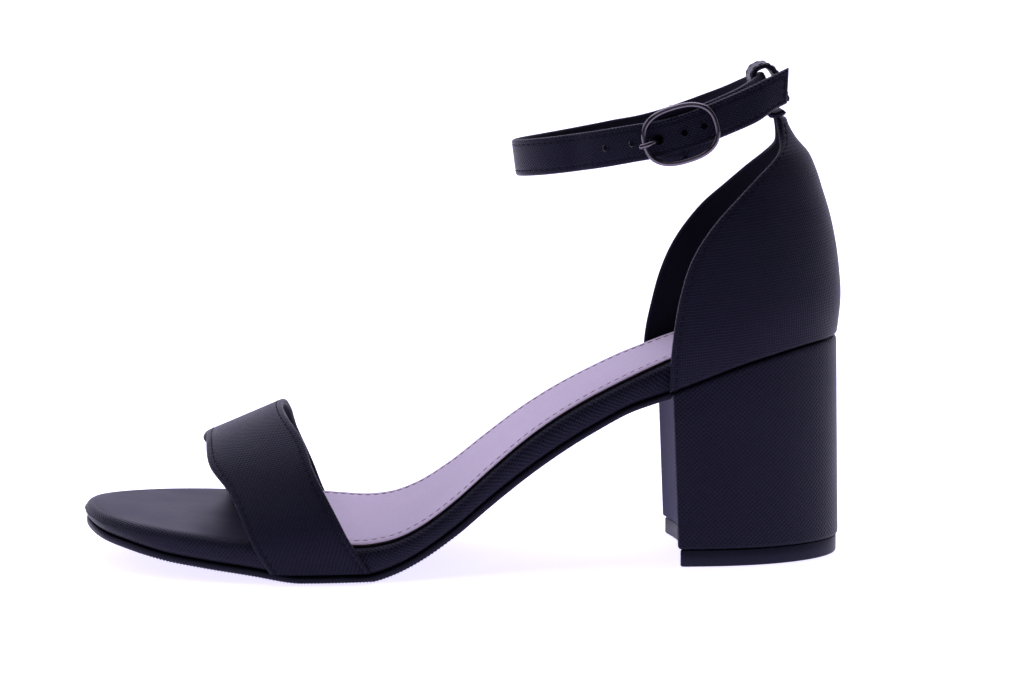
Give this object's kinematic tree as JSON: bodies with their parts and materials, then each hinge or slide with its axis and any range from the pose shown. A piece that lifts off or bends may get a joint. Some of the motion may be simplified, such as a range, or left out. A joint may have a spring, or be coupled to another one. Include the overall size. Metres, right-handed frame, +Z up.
{
  "type": "block heel sandal",
  "caption": "Open-toe sandal with a block heel, a wide vamp strap, a closed heel counter and a buckled ankle strap run through a loop at the back.",
  "frame": {"origin": "centre of the heel top piece's face on the floor", "axes": "-X towards the toe, +X towards the back of the heel, +Y towards the inner side of the foot, -Y towards the outer side with the buckle, +Z up"},
  "size_m": [0.2263, 0.0835, 0.147],
  "materials": {
    "black_upper": "cross-hatch embossed, satin, blue-black",
    "black_strap": "cross-hatch embossed, satin, blue-black",
    "black_wrap": "cross-hatch embossed wrap, satin",
    "insole_sock": "soft matt pale pink",
    "outsole_rubber": "matt, ribbed edge",
    "top_piece_rubber": "satin",
    "buckle_metal": "polished dark nickel"
  },
  "bodies": {
    "root": {"outsole": "outsole_rubber", "platform": "black_wrap", "insole": "insole_sock", "vamp_strap": "black_upper", "heel_counter": "black_upper", "back_loop": "black_upper", "ankle_strap": "black_strap", "buckle_frame": "buckle_metal", "buckle_prong": "buckle_metal", "heel_block": "black_wrap", "heel_top_piece": "top_piece_rubber"}
  },
  "joints": []
}
